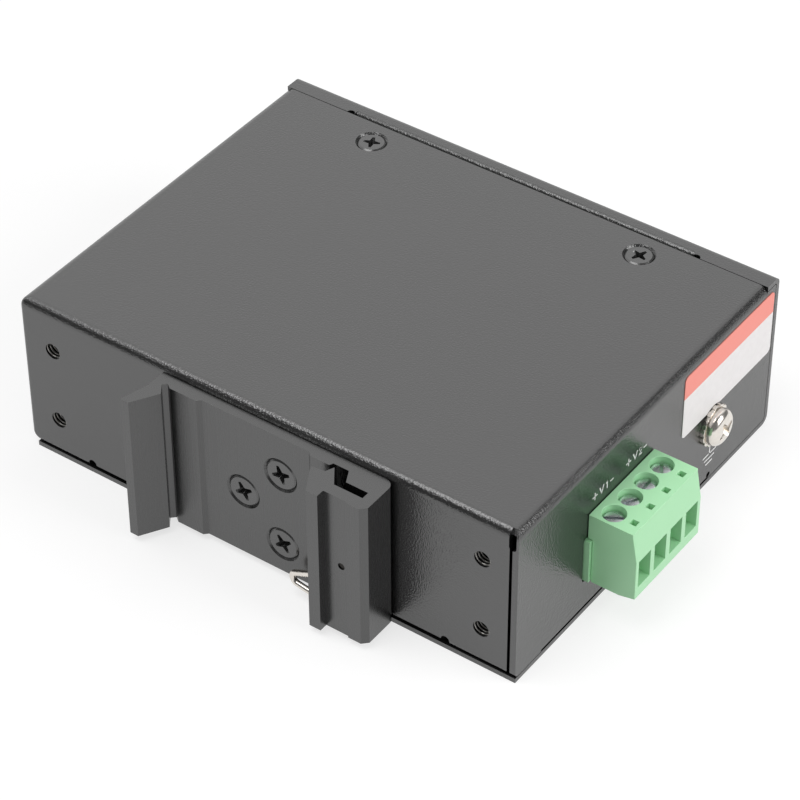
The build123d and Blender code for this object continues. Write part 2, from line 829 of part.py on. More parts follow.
# Header on the board: a box open towards +X, with the four pins through its back
with BuildPart() as terminal_header:
    block(header_back_x, header_front_x, terminal_y - header_half_width, terminal_y + header_half_width,
          board_top, header_top)
    block(header_back_x + header_back, header_front_x,
          terminal_y - header_half_width + header_side, terminal_y + header_half_width - header_side,
          board_top + header_floor, header_top - header_roof, mode=Mode.SUBTRACT)
    with BuildSketch(Plane.YZ.offset(header_back_x)):
        with Locations(*[(y, pin_z) for y in pole_ys]):
            Rectangle(pin_width + 2 * press_clearance, pin_width + 2 * press_clearance)
    extrude(amount=header_back, mode=Mode.SUBTRACT)
terminal_header.part.label = "terminal_header"
export_step(terminal_header.part, "parts/terminal_header.step")

pin_tail_x = header_back_x - pin_width
with BuildPart() as header_pins:
    for y in pole_ys:
        with BuildSketch(Plane.XZ.offset(-y)):
            with BuildLine():
                FilletPolyline(
                    (pin_tail_x, board_bottom - pin_tail_below),
                    (pin_tail_x, pin_z),
                    (header_back_x + pin_reach, pin_z),
                    radius=pin_width * pin_bend_share,
                )
            trace(line_width=pin_width)
        extrude(amount=pin_width / 2, both=True)
header_pins.part.label = "header_pins"
export_step(header_pins.part, "parts/header_pins.step")

# Plug: the part outside the wall carries the screws, the part inside slides into the header
insert_half_width = header_half_width - header_side - plug_slot_gap
body_back_x = half_length + plug_wall_gap
step_x = header_front_x + plug_wall_gap
insert_back_x = step_x - plug_insert_depth
leaf_low = pin_z - pin_width / 2 - contact_gap - contact_leaf
with BuildPart() as terminal_plug:
    with BuildSketch(Plane.XZ.offset(-terminal_y + plug_half_width)):
        with BuildLine():
            Polyline(
                (step_x, plug_bottom),
                (plug_front_x - nose_start, plug_bottom),
                (plug_front_x, plug_bottom + nose_bottom_rise),
                (plug_front_x, slope_bottom),
                (plug_front_x - slope_run, plug_top - slope_lip),
                (plug_front_x - slope_run, plug_top),
                (body_back_x, plug_top),
                (body_back_x, header_top + plug_slot_gap),
                (step_x, header_top + plug_slot_gap),
                close=True,
            )
        make_face()
    extrude(amount=-2 * plug_half_width)
    insert_bottom = board_top + header_floor + plug_slot_gap
    insert_top = header_top - header_roof - plug_slot_gap
    block(insert_back_x, step_x, terminal_y - insert_half_width, terminal_y + insert_half_width,
          insert_bottom, insert_top)
    for y in pole_ys:
        # Screw well, its shoulder hole, the chamber for the cage and the wire entry
        with Locations((well_x, y, plug_top - well_depth / 2)):
            Cylinder(well_radius, well_depth, mode=Mode.SUBTRACT)
        with Locations((well_x, y, (plug_top + chamber_top) / 2)):
            Cylinder(m3_major / 2 + clamp_hole_clearance, plug_top - chamber_top, mode=Mode.SUBTRACT)
        block(well_x - chamber_width_x / 2, well_x + chamber_width_x / 2,
              y - chamber_width_y / 2, y + chamber_width_y / 2,
              chamber_bottom, chamber_top, mode=Mode.SUBTRACT)
        block(well_x, plug_front_x, y - entry_width / 2, y + entry_width / 2,
              entry_bottom, entry_top, mode=Mode.SUBTRACT)
        with BuildSketch(Plane.XY.offset(plug_top)):
            with Locations((test_hole_x, y)):
                Rectangle(test_hole_width, test_hole_width)
        extrude(amount=entry_top - plug_top, mode=Mode.SUBTRACT)
        # Channel for the contact spring
        slot_half_width = contact_bar_width / 2 + cage_gap
        block(insert_back_x, well_x, y - slot_half_width, y + slot_half_width,
              leaf_low - cage_gap, contact_bar_top + cage_gap, mode=Mode.SUBTRACT)
terminal_plug.part.label = "terminal_plug"
export_step(terminal_plug.part, "parts/terminal_plug.step")

# Contact springs: a clamping bar through each cage and two leaves that grip the pin
leaf_high = pin_z + pin_width / 2 + contact_gap
with BuildPart() as plug_contacts:
    for y in pole_ys:
        y0 = y - contact_bar_width / 2
        y1 = y + contact_bar_width / 2
        block(contact_mouth_x, well_x + chamber_width_x / 2 - cage_gap, y0, y1,
              contact_bar_top - contact_bar_thickness, contact_bar_top)
        block(contact_web_x, contact_web_x + 2 * contact_leaf, y0, y1, leaf_low, contact_bar_top)
        block(contact_mouth_x, contact_web_x, y0, y1, leaf_low, leaf_low + contact_leaf)
        block(contact_mouth_x, contact_web_x, y0, y1, leaf_high, leaf_high + contact_leaf)
plug_contacts.part.label = "plug_contacts"
export_step(plug_contacts.part, "parts/plug_contacts.step")

# Clamp screws and the cages that they lift
cage_width_x = chamber_width_x - 2 * cage_gap
cage_width_y = chamber_width_y - 2 * cage_gap
shoulder_z = plug_top - well_depth
for number, y in enumerate(pole_ys, start=1):
    with BuildPart() as clamp_screw:
        with Locations((well_x, y, shoulder_z)):
            Cylinder(clamp_head_radius, clamp_head_height, align=(Align.CENTER, Align.CENTER, Align.MIN))
        shank_bottom = contact_bar_top + cage_gap
        with Locations((well_x, y, shank_bottom)):
            Cylinder(m3_major / 2 - thread_clearance, shoulder_z - shank_bottom,
                     align=(Align.CENTER, Align.CENTER, Align.MIN))
        slot_z = shoulder_z + clamp_head_height - clamp_slot_depth / 2
        with Locations(Location((well_x, y, slot_z), (0, 0, clamp_slot_turn * number))):
            Box(2 * clamp_head_radius, clamp_slot_width, clamp_slot_depth, mode=Mode.SUBTRACT)
    clamp_screw.part.label = f"clamp_screw_{number}"
    export_step(clamp_screw.part, f"parts/clamp_screw_{number}.step")

    with BuildPart() as clamp_cage:
        block(well_x - cage_width_x / 2, well_x + cage_width_x / 2,
              y - cage_width_y / 2, y + cage_width_y / 2,
              cage_bottom, cage_bottom + cage_height)
        block(well_x - cage_width_x / 2, well_x + cage_width_x / 2,
              y - cage_window_width / 2, y + cage_window_width / 2,
              cage_bottom + cage_floor, cage_bottom + cage_height - cage_roof, mode=Mode.SUBTRACT)
        with Locations((well_x, y, cage_bottom + cage_height - cage_roof / 2)):
            Cylinder(m3_major / 2, cage_roof, mode=Mode.SUBTRACT)
    clamp_cage.part.label = f"clamp_cage_{number}"
    export_step(clamp_cage.part, f"parts/clamp_cage_{number}.step")

# Circuit board with its standoffs and screws
with BuildPart() as circuit_board:
    block(board_left_x, board_right_x, board_rear_y, board_front_y, board_bottom, board_top)
    with BuildSketch(Plane.XY.offset(board_top)):
        with Locations(*board_holes):
            Circle(board_hole_radius)
        with Locations(*[(pin_tail_x, y) for y in pole_ys]):
            Circle(pin_hole_radius)
    extrude(amount=-board_thickness, mode=Mode.SUBTRACT)
circuit_board.part.label = "circuit_board"
export_step(circuit_board.part, "parts/circuit_board.step")

with BuildPart() as board_standoffs:
    with BuildSketch(Plane.XY.offset(base_sheet)):
        with Locations(*board_holes):
            RegularPolygon(standoff_across_flats / 2, 6, major_radius=False)
    extrude(amount=standoff_height)
    with BuildSketch(Plane.XY):
        with Locations(*board_holes):
            Circle(standoff_spigot_radius)
    extrude(amount=base_sheet)
    with BuildSketch(Plane.XY.offset(board_bottom)):
        with Locations(*board_holes):
            Circle(m3_major / 2)
    extrude(amount=-standoff_bore_depth, mode=Mode.SUBTRACT)
board_standoffs.part.label = "board_standoffs"
export_step(board_standoffs.part, "parts/board_standoffs.step")

with BuildPart() as board_screws:
    with Locations(*[(x, y, board_top) for x, y in board_holes]):
        add(pan_screw(
            board_screw_head_radius,
            board_screw_head_height,
            m3_major - 2 * thread_clearance,
            board_screw_length,
        ))
board_screws.part.label = "board_screws"
export_step(board_screws.part, "parts/board_screws.step")

# Network sockets: a shield can, a moulded insert and eight spring contacts each
port_bottom = board_top + port_floor
for number, x in enumerate(jack_centres, start=1):
    with BuildPart() as jack_shield:
        block(x - jack_width / 2, x + jack_width / 2, jack_back_y, jack_front_y,
              board_top, board_top + jack_height)
        block(x - jack_width / 2 + jack_sheet, x + jack_width / 2 - jack_sheet, jack_back_y + jack_sheet,
              jack_front_y, board_top, board_top + jack_height - jack_sheet, mode=Mode.SUBTRACT)
    jack_shield.part.label = f"jack_shield_{number}"
    export_step(jack_shield.part, f"parts/jack_shield_{number}.step")

    with BuildPart() as jack_insert:
        insert_half_width = jack_width / 2 - jack_sheet - press_clearance
        block(x - insert_half_width, x + insert_half_width,
              jack_back_y + jack_sheet + press_clearance, jack_front_y - jack_sheet,
              board_top, board_top + jack_height - jack_sheet - press_clearance)
        with BuildSketch(Plane.XZ.offset(-jack_front_y)):
            with Locations((x, port_bottom + port_height / 2)):
                Rectangle(port_width, port_height)
            with Locations((x, port_bottom + port_height + latch_height / 2)):
                Rectangle(latch_width, latch_height)
            with Locations((x, port_bottom + port_height + latch_height + key_height / 2)):
                Rectangle(key_width, key_height)
        extrude(amount=port_depth, mode=Mode.SUBTRACT)
    jack_insert.part.label = f"jack_insert_{number}"
    export_step(jack_insert.part, f"parts/jack_insert_{number}.step")

    with BuildPart() as jack_contacts:
        for index in range(contact_count):
            contact_x = x + contact_pitch * (index - (contact_count - 1) / 2)
            with BuildSketch(Plane.YZ.offset(contact_x - contact_wire / 2)):
                with BuildLine():
                    Polyline(
                        (jack_front_y - contact_setback, port_bottom + contact_wire / 2),
                        (jack_front_y - port_depth + contact_back_margin, port_bottom + contact_rise),
                    )
                trace(line_width=contact_wire)
            extrude(amount=contact_wire)
    jack_contacts.part.label = f"jack_contacts_{number}"
    export_step(jack_contacts.part, f"parts/jack_contacts_{number}.step")

# Status lamps in their holders
with BuildPart() as status_lamps:
    with BuildSketch(Plane.XZ.offset(-panel_back_y + lamp_stem)):
        with Locations(*[(x, lamp_z) for x in lamp_xs]):
            Circle(lamp_radius)
    extrude(amount=-lamp_stem - base_sheet)
    front_rims = status_lamps.edges().filter_by(GeomType.CIRCLE).group_by(Axis.Y)[-1]
    fillet(front_rims, lamp_radius * lamp_dome_share)
status_lamps.part.label = "status_lamps"
export_step(status_lamps.part, "parts/status_lamps.step")

with BuildPart() as lamp_holders:
    for x in lamp_xs:
        block(x - lamp_holder / 2, x + lamp_holder / 2,
              panel_back_y - lamp_stem - lamp_holder, panel_back_y - lamp_stem,
              board_top, lamp_z + lamp_holder / 2)
lamp_holders.part.label = "lamp_holders"
export_step(lamp_holders.part, "parts/lamp_holders.step")


def board_block(place, size):
    """A box of the given size that stands on the board at a place."""
    with Locations((place[0], place[1], board_top)):
        Box(*size, align=(Align.CENTER, Align.CENTER, Align.MIN))


def capacitors(places, radius, height):
    """Radial capacitors with the crimped groove above the foot."""
    with BuildPart() as cans:
        for x, y in places:
            with Locations((x, y, board_top)):
                Cylinder(radius, height, align=(Align.CENTER, Align.CENTER, Align.MIN))
                with Locations((0, 0, capacitor_groove_z)):
                    Cylinder(radius + cut_margin, 2 * capacitor_groove, mode=Mode.SUBTRACT)
                    Cylinder(radius - capacitor_groove, 2 * capacitor_groove)
    return cans


# Magnetics and power parts on the board
for number, x in enumerate(jack_centres, start=1):
    with BuildPart() as line_transformer:
        board_block((x, line_transformer_y), line_transformer_size)
        fillet(line_transformer.edges().filter_by(Axis.Z), line_transformer_radius)
        for side in (-1, 1):
            lead_y = line_transformer_y + side * (line_transformer_size[1] + transformer_lead_size[1]) / 2
            for index in range(transformer_lead_count):
                lead_x = x + (index - (transformer_lead_count - 1) / 2) * transformer_lead_pitch
                board_block((lead_x, lead_y), transformer_lead_size)
    line_transformer.part.label = f"line_transformer_{number}"
    export_step(line_transformer.part, f"parts/line_transformer_{number}.step")

with BuildPart() as rectifier_bridges:
    for x in bridge_xs:
        board_block((x, bridge_y), bridge_size)
rectifier_bridges.part.label = "rectifier_bridges"
export_step(rectifier_bridges.part, "parts/rectifier_bridges.step")

input_capacitor_places = [(x, input_capacitor_y) for x in input_capacitor_xs]
input_capacitors = capacitors(input_capacitor_places, input_capacitor_radius, input_capacitor_height)
input_capacitors.part.label = "input_capacitors"
export_step(input_capacitors.part, "parts/input_capacitors.step")

output_capacitor_places = [(output_capacitor_x, y) for y in output_capacitor_ys]
output_capacitors = capacitors(output_capacitor_places, output_capacitor_radius, output_capacitor_height)
output_capacitors.part.label = "output_capacitors"
export_step(output_capacitors.part, "parts/output_capacitors.step")

core_base = board_top + core_lift
core_window = (core_width - core_centre_leg) / 2 - core_leg
with BuildPart() as transformer_core:
    block(transformer_x - core_width / 2, transformer_x + core_width / 2,
          transformer_y - core_depth / 2, transformer_y + core_depth / 2,
          core_base, core_base + core_height)
    for side in (-1, 1):
        window_x = transformer_x + side * (core_centre_leg + core_window) / 2
        block(window_x - core_window / 2, window_x + core_window / 2,
              transformer_y - core_depth / 2, transformer_y + core_depth / 2,
              core_base + core_leg, core_base + core_height - core_leg, mode=Mode.SUBTRACT)
transformer_core.part.label = "transformer_core"
export_step(transformer_core.part, "parts/transformer_core.step")

with BuildPart() as transformer_winding:
    winding_low = core_base + core_leg + core_gap
    winding_high = core_base + core_height - core_leg - core_gap
    outer_half = core_centre_leg / 2 + core_window - core_gap
    inner_half = core_centre_leg / 2 + core_gap
    inner_depth = core_depth / 2 + core_gap
    block(transformer_x - outer_half, transformer_x + outer_half,
          transformer_y - winding_depth / 2, transformer_y + winding_depth / 2,
          winding_low, winding_high)
    fillet(transformer_winding.edges().filter_by(Axis.Z), winding_radius)
    block(transformer_x - inner_half, transformer_x + inner_half,
          transformer_y - inner_depth, transformer_y + inner_depth,
          winding_low, winding_high, mode=Mode.SUBTRACT)
    for side in (-1, 1):
        foot_y = transformer_y + side * (inner_depth + winding_foot / 2)
        block(transformer_x - outer_half, transformer_x + outer_half,
              foot_y - winding_foot / 2, foot_y + winding_foot / 2,
              board_top, winding_low)
transformer_winding.part.label = "transformer_winding"
export_step(transformer_winding.part, "parts/transformer_winding.step")

for number, place in enumerate(choke_places, start=1):
    with BuildPart() as output_choke:
        board_block(place, (choke_size, choke_size, choke_height))
        fillet(output_choke.edges().filter_by(Axis.Z), choke_radius)
        with Locations((place[0], place[1], board_top + choke_height - choke_dish_depth / 2)):
            Cylinder(choke_size * choke_dish_share, choke_dish_depth, mode=Mode.SUBTRACT)
    output_choke.part.label = f"output_choke_{number}"
    export_step(output_choke.part, f"parts/output_choke_{number}.step")

with BuildPart() as switching_chips:
    for x, y in chip_places:
        board_block((x, y), chip_size)
        for side in (-1, 1):
            lead_y = y + side * (chip_size[1] + chip_lead_size[1]) / 2
            for index in range(chip_lead_count):
                lead_x = x + (index - (chip_lead_count - 1) / 2) * chip_lead_pitch
                board_block((lead_x, lead_y), chip_lead_size)
switching_chips.part.label = "switching_chips"
export_step(switching_chips.part, "parts/switching_chips.step")

with BuildPart() as chip_components:
    with Locations((small_part_x, front_y - small_part_front_inset, board_top)):
        with GridLocations(
            small_part_pitch_x,
            small_part_pitch_y,
            small_part_column_count,
            small_part_row_count,
        ):
            Box(*small_part_size, align=(Align.CENTER, Align.CENTER, Align.MIN))
chip_components.part.label = "chip_components"
export_step(chip_components.part, "parts/chip_components.step")
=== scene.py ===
import json
from math import cos, pi, radians, sin

import bmesh
import bpy
from mathutils import Matrix, Vector

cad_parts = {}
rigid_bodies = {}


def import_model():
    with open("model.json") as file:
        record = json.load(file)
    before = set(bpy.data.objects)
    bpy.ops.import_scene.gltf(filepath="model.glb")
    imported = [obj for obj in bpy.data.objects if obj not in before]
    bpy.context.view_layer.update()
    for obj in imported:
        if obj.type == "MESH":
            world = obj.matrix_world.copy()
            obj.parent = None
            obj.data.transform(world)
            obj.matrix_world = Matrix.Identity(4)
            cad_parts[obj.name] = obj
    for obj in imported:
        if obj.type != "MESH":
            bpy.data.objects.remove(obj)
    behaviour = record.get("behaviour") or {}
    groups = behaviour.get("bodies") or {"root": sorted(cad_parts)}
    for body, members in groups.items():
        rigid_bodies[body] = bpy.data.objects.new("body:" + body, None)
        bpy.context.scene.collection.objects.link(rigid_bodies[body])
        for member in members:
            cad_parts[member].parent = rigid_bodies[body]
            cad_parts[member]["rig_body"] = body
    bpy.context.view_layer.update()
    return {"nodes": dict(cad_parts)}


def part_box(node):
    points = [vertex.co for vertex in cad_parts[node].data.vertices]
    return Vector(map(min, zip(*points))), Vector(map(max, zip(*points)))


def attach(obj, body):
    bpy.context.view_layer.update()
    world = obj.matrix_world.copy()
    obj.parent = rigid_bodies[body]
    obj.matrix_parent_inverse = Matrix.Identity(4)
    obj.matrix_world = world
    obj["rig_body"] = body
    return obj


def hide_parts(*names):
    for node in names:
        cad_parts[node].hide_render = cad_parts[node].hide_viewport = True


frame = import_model()
mm = 0.001


# Cover.
# One steel sheet folded into the roof, the rear flange and two side walls, then coated in glossy
# black powder, whose fine grain shows along the folds.
class Tone:
    """A value that varies over a surface. Arithmetic on it adds the Math nodes."""

    def __init__(self, graph, socket):
        self.graph = graph
        self.socket = socket

    def math(self, operation, first, second):
        return self.graph.node("ShaderNodeMath", {"operation": operation}, {0: first, 1: second})

    def __add__(self, other):
        return self.math("ADD", self, other)

    def __radd__(self, other):
        return self.math("ADD", other, self)

    def __sub__(self, other):
        return self.math("SUBTRACT", self, other)

    def __rsub__(self, other):
        return self.math("SUBTRACT", other, self)

    def __mul__(self, other):
        return self.math("MULTIPLY", self, other)

    def __rmul__(self, other):
        return self.math("MULTIPLY", other, self)

    def __truediv__(self, other):
        return self.math("DIVIDE", self, other)

    def __gt__(self, other):
        return self.math("GREATER_THAN", self, other)

    def __lt__(self, other):
        return self.math("LESS_THAN", self, other)


class Graph:
    """A node tree, to which nodes are added by their type, settings and sockets."""

    def __init__(self, tree):
        self.tree = tree

    def node(self, kind, settings=None, sockets=None, output=0):
        made = self.tree.nodes.new(kind)
        for name, value in (settings or {}).items():
            setattr(made, name, value)
        for name, value in (sockets or {}).items():
            self.feed(made.inputs[name], value)
        return Tone(self, made.outputs[output])

    def feed(self, socket, value):
        """Links a socket to a varying value, or sets it."""
        if isinstance(value, Tone):
            self.tree.links.new(value.socket, socket)
        else:
            socket.default_value = value


class Finish(Graph):
    """A surface finish: a Principled shader and the nodes that feed it."""

    def __init__(self, name, **sockets):
        self.material = bpy.data.materials.new(name)
        self.material.use_nodes = True
        super().__init__(self.material.node_tree)
        self.shader = self.tree.nodes["Principled BSDF"]
        for socket, value in sockets.items():
            self.set(socket, value)

    def set(self, name, value):
        """Feeds one socket of the Principled shader."""
        self.feed(self.shader.inputs[name], value)

    def place(self, scale=(1.0, 1.0, 1.0)):
        """Object coordinates, stretched along the axes."""
        point = self.node("ShaderNodeTexCoord", output="Object")
        return self.node("ShaderNodeMapping", {}, {"Vector": point, "Scale": scale})

    def noise(self, scale, detail=2.0, stretch=(1.0, 1.0, 1.0)):
        """Cloudy noise with so many cells to the metre."""
        return self.node("ShaderNodeTexNoise", {}, {
            "Vector": self.place(stretch), "Scale": scale, "Detail": detail,
        }, "Fac")

    def blend(self, share, first, second):
        """The mix of two colours."""
        return self.node("ShaderNodeMix", {"data_type": "RGBA"}, {0: share, 6: first, 7: second}, 2)

    def vary(self, cloud, first, second, least, most):
        """Varies the colour between two shades and the roughness between two values, and gives the colour."""
        colour = self.blend(cloud, first, second)
        self.set("Base Color", colour)
        self.set("Roughness", least + (most - least) * cloud)
        return colour

    def relief(self, height, distance):
        """Bumps the surface by a height between 0 and 1, times a distance in metres."""
        bump = self.node("ShaderNodeBump", {}, {"Height": height, "Distance": distance}, "Normal")
        self.set("Normal", bump)


def shade(red, green, blue):
    """A colour from its eight-bit display values."""
    return tuple(pow(c / 255, 2.2) for c in (red, green, blue)) + (1.0,)


def added(name, data):
    """An object of the scene from its mesh, lamp or camera data."""
    piece = bpy.data.objects.new(name, data)
    bpy.context.scene.collection.objects.link(piece)
    return piece


def stored(solid, name):
    """Keeps an edited mesh as an object."""
    mesh = bpy.data.meshes.new(name)
    solid.to_mesh(mesh)
    solid.free()
    return added(name, mesh)


crease_angle = radians(35)


def crease(mesh):
    """Shades a mesh smooth between its sharp edges."""
    mesh.shade_smooth()
    mesh.set_sharp_from_angle(angle=crease_angle)


def settle(piece):
    """Turns a piece with modifiers into a plain mesh."""
    bpy.context.view_layer.update()
    shape = piece.evaluated_get(bpy.context.evaluated_depsgraph_get())
    mesh = bpy.data.meshes.new_from_object(shape)
    piece.modifiers.clear()
    piece.data = mesh


def round_edges(piece, width, segments):
    """Rounds a piece's sharp edges slightly and keeps its faces flat."""
    rounding = piece.modifiers.new("edges", "BEVEL")
    rounding.width = width
    rounding.segments = segments
    rounding.limit_method = "ANGLE"
    rounding.angle_limit = crease_angle
    rounding.use_clamp_overlap = True
    weighting = piece.modifiers.new("normals", "WEIGHTED_NORMAL")
    weighting.keep_sharp = True
    settle(piece)


def welded(node, edge=0.0):
    """A copy of a CAD node, with its triangles joined into faces and its sharp edges rounded."""
    weld_gap = 0.002 * mm
    flat_angle = radians(0.5)
    source = frame["nodes"][node]
    body = source["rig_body"]
    shell = bmesh.new()
    shell.from_mesh(source.data)
    bmesh.ops.remove_doubles(shell, verts=shell.verts, dist=weld_gap)
    bmesh.ops.dissolve_limit(shell, angle_limit=flat_angle, verts=shell.verts, edges=shell.edges)
    piece = stored(shell, node + "_skin")
    crease(piece.data)
    if edge:
        round_edges(piece, edge, 3)
    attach(piece, body)
    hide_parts(node)
    return piece


def finish_with(piece, finish):
    """Gives a piece its finish."""
    piece.data.materials.clear()
    piece.data.materials.append(finish.material)


coat = Finish("powder_coat", IOR=1.95)
coat.vary(coat.noise(60.0), shade(22, 22, 22), shade(28, 28, 28), 0.2, 0.27)
orange_peel = coat.noise(1300.0)
fine_grain = coat.noise(3100.0, detail=1.0)
coat.relief(orange_peel * 0.15 + fine_grain * 0.85, 0.09 * mm)

sheet_edge = 0.12 * mm
finish_with(welded("cover", sheet_edge), coat)

# Base tray.
# The second folded sheet: bottom plate, front panel and the strip that closes the roof's front
# edge, in the same coat.
finish_with(welded("base_tray", sheet_edge), coat)

# Tapped holes of the rear flange.
# Four burred M4 threads for another bracket, cut after coating, so their crests are bare steel.
rear_face_y = -42.0 * mm
rear_hole_x = 46.8 * mm
rear_hole_heights = (8.9 * mm, 25.2 * mm)
thread_start_y = rear_face_y + 0.15 * mm
thread_radius = 1.66 * mm
thread_pitch = 0.7 * mm
thread_depth = 2.4 * mm
thread_ridge = 0.2 * mm


def growth(name, **inputs):
    """A new Geometry Nodes tree with named inputs: its graph, and each input by its name."""
    graph = Graph(bpy.data.node_groups.new(name, "GeometryNodeTree"))
    face = graph.tree.interface
    face.new_socket("Geometry", in_out="INPUT", socket_type="NodeSocketGeometry")
    face.new_socket("Geometry", in_out="OUTPUT", socket_type="NodeSocketGeometry")
    for label, kind in inputs.items():
        face.new_socket(label, in_out="INPUT", socket_type="NodeSocket" + kind)
    start = graph.tree.nodes.new("NodeGroupInput")
    return graph, {socket.name: Tone(graph, socket) for socket in start.outputs}


def dressed(graph, shape, finish):
    """Ends a tree: its instances made real, in their material."""
    real = graph.node("GeometryNodeRealizeInstances", {}, {"Geometry": shape})
    worn = graph.node("GeometryNodeSetMaterial", {}, {"Geometry": real, "Material": finish})
    graph.feed(graph.tree.nodes.new("NodeGroupOutput").inputs[0], worn)
    return graph.tree


def thread_tree():
    """A helical ridge that lines a tapped hole, on each point of a mesh, along -Y."""
    steps_to_turn = 28
    ridge_sides = 4
    graph, given = growth(
        "tapped_thread", Radius="Float", Pitch="Float", Depth="Float", Ridge="Float", Finish="Material",
    )
    helix = graph.node("GeometryNodeCurveSpiral", {}, {
        "Resolution": steps_to_turn, "Rotations": given["Depth"] / given["Pitch"], "Height": given["Depth"],
        "Start Radius": given["Radius"], "End Radius": given["Radius"],
    })
    ridge = graph.node("GeometryNodeCurvePrimitiveCircle", {"mode": "RADIUS"}, {
        "Resolution": ridge_sides, "Radius": given["Ridge"],
    })
    wall = graph.node("GeometryNodeCurveToMesh", {}, {
        "Curve": helix, "Profile Curve": ridge, "Fill Caps": True,
    })
    turned = graph.node("GeometryNodeTransform", {}, {"Geometry": wall, "Rotation": (-pi / 2, 0, 0)})
    placed = graph.node("GeometryNodeInstanceOnPoints", {}, {"Points": given["Geometry"], "Instance": turned})
    return dressed(graph, placed, given["Finish"])


def point_piece(name, points):
    """A mesh of loose points, for a tree to work on."""
    mesh = bpy.data.meshes.new(name)
    mesh.from_pydata(points, [], [])
    return added(name, mesh)


def grow(piece, tree, **values):
    """Runs a Geometry Nodes tree on a piece and keeps the result as a plain mesh."""
    work = piece.modifiers.new(tree.name, "NODES")
    work.node_group = tree
    for socket in tree.interface.items_tree:
        if socket.in_out == "INPUT" and socket.name in values:
            work[socket.identifier] = values[socket.name]
    settle(piece)


cut_steel = Finish("cut_steel", Metallic=1.0)
cut_steel.vary(cut_steel.noise(900.0), shade(150, 148, 144), shade(186, 184, 180), 0.22, 0.36)
threads = point_piece("rear_threads", [
    (side * rear_hole_x, thread_start_y, height) for side in (-1, 1) for height in rear_hole_heights
])
grow(threads, thread_tree(), Radius=thread_radius, Pitch=thread_pitch, Depth=thread_depth,
     Ridge=thread_ridge, Finish=cut_steel.material)
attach(threads, "housing")
finish_with(threads, cut_steel)

# Countersunk screws.
# Cross-recessed steel screws in black zinc: two M3 in the roof and three in the rail clip. Each
# head has a chamfered rim around a recess with four tapered wings.
roof_z = 34.5 * mm
roof_screw_x = 30.0 * mm
roof_screw_y = 32.6 * mm
roof_screw_sink = 0.12 * mm
clip_plate_y = rear_face_y - 1.9 * mm
clip_screw_places = ((-2.4 * mm, 16.1 * mm), (6.0 * mm, 24.2 * mm), (6.0 * mm, 8.0 * mm))

black_zinc = Finish("black_zinc", IOR=2.0)
zinc_wear = black_zinc.noise(900.0, detail=3.0)
black_zinc.vary(zinc_wear, shade(30, 30, 30), shade(42, 42, 42), 0.2, 0.32)
black_zinc.relief(zinc_wear, 0.01 * mm)


def turned_mesh(profile, steps=48):
    """A closed solid of revolution about Z from (radius, height) points that run from axis to axis."""
    solid = bmesh.new()
    rings = []
    for radius, height in profile:
        if radius == 0:
            rings.append([solid.verts.new((0, 0, height))])
        else:
            rings.append([
                solid.verts.new((radius * cos(2 * pi * k / steps), radius * sin(2 * pi * k / steps), height))
                for k in range(steps)
            ])
    for low, high in zip(rings, rings[1:]):
        for k in range(steps):
            n = (k + 1) % steps
            if len(low) == 1:
                solid.faces.new((low[0], high[k], high[n]))
            elif len(high) == 1:
                solid.faces.new((low[k], high[0], low[n]))
            else:
                solid.faces.new((low[k], high[k], high[n], low[n]))
    bmesh.ops.recalc_face_normals(solid, faces=solid.faces)
    return solid


def cross_bit(reach, depth, lift=0.0):
    """The driver-shaped solid that cuts a cross recess: four wings that taper towards the tip."""
    half_wing = 0.14 * reach
    throat = 0.3 * reach
    overshoot = 0.15 * depth
    tip_share = 0.42
    bit = bmesh.new()
    layers = []
    for height, share in ((lift + overshoot, 1.0), (lift - depth, tip_share)):
        ring = []
        for quarter in range(4):
            turn = Matrix.Rotation(quarter * pi / 2, 3, "Z")
            for x, y in ((reach, -half_wing), (reach, half_wing), (throat, throat)):
                ring.append(bit.verts.new(turn @ Vector((x * share, y * share, height))))
        layers.append(ring)
    top, tip = layers
    bit.faces.new(top)
    bit.faces.new(list(reversed(tip)))
    for k in range(len(top)):
        n = (k + 1) % len(top)
        bit.faces.new((top[n], top[k], tip[k], tip[n]))
    bmesh.ops.recalc_face_normals(bit, faces=bit.faces)
    return bit


def cut(piece, cutter, edge):
    """Takes a cutter out of a piece and rounds the edges that it leaves."""
    taking = piece.modifiers.new("recess", "BOOLEAN")
    taking.object = cutter
    taking.operation = "DIFFERENCE"
    taking.solver = "EXACT"
    settle(piece)
    bpy.data.objects.remove(cutter)
    crease(piece.data)
    round_edges(piece, edge, 2)


def countersunk(name, head, shank, length):
    """A countersunk screw along Z with the middle of its head's face at Z 0."""
    tip = 0.3 * mm
    rim = 0.3 * mm
    rim_drop = 0.22 * mm
    cone_top = 0.35 * mm
    screw = stored(turned_mesh([
        (0, -length), (shank - tip, -length), (shank, tip - length), (shank, shank - head - cone_top),
        (head, -cone_top), (head, -rim_drop), (head - rim, 0), (0, 0),
    ]), name)
    cut(screw, stored(cross_bit(0.66 * head, 0.5 * head), name + "_bit"), 0.04 * mm)
    return screw


def screw_tree():
    """A screw on each point, turned about its own axis by a seeded random angle."""
    graph, given = growth(
        "screw_row", Screw="Object", Lean="Vector", Least="Float", Most="Float", Seed="Int",
        Finish="Material",
    )
    screw = graph.node("GeometryNodeObjectInfo", {}, {"Object": given["Screw"]}, "Geometry")
    angle = graph.node("FunctionNodeRandomValue", {"data_type": "FLOAT"}, {
        2: given["Least"], 3: given["Most"], "Seed": given["Seed"],
    }, 1)
    placed = graph.node("GeometryNodeInstanceOnPoints", {}, {
        "Points": given["Geometry"], "Instance": screw, "Rotation": given["Lean"],
    })
    twist = graph.node("ShaderNodeCombineXYZ", {}, {"Z": angle})
    turned = graph.node("GeometryNodeRotateInstances", {}, {
        "Instances": placed, "Rotation": twist, "Local Space": True,
    })
    return dressed(graph, turned, given["Finish"])


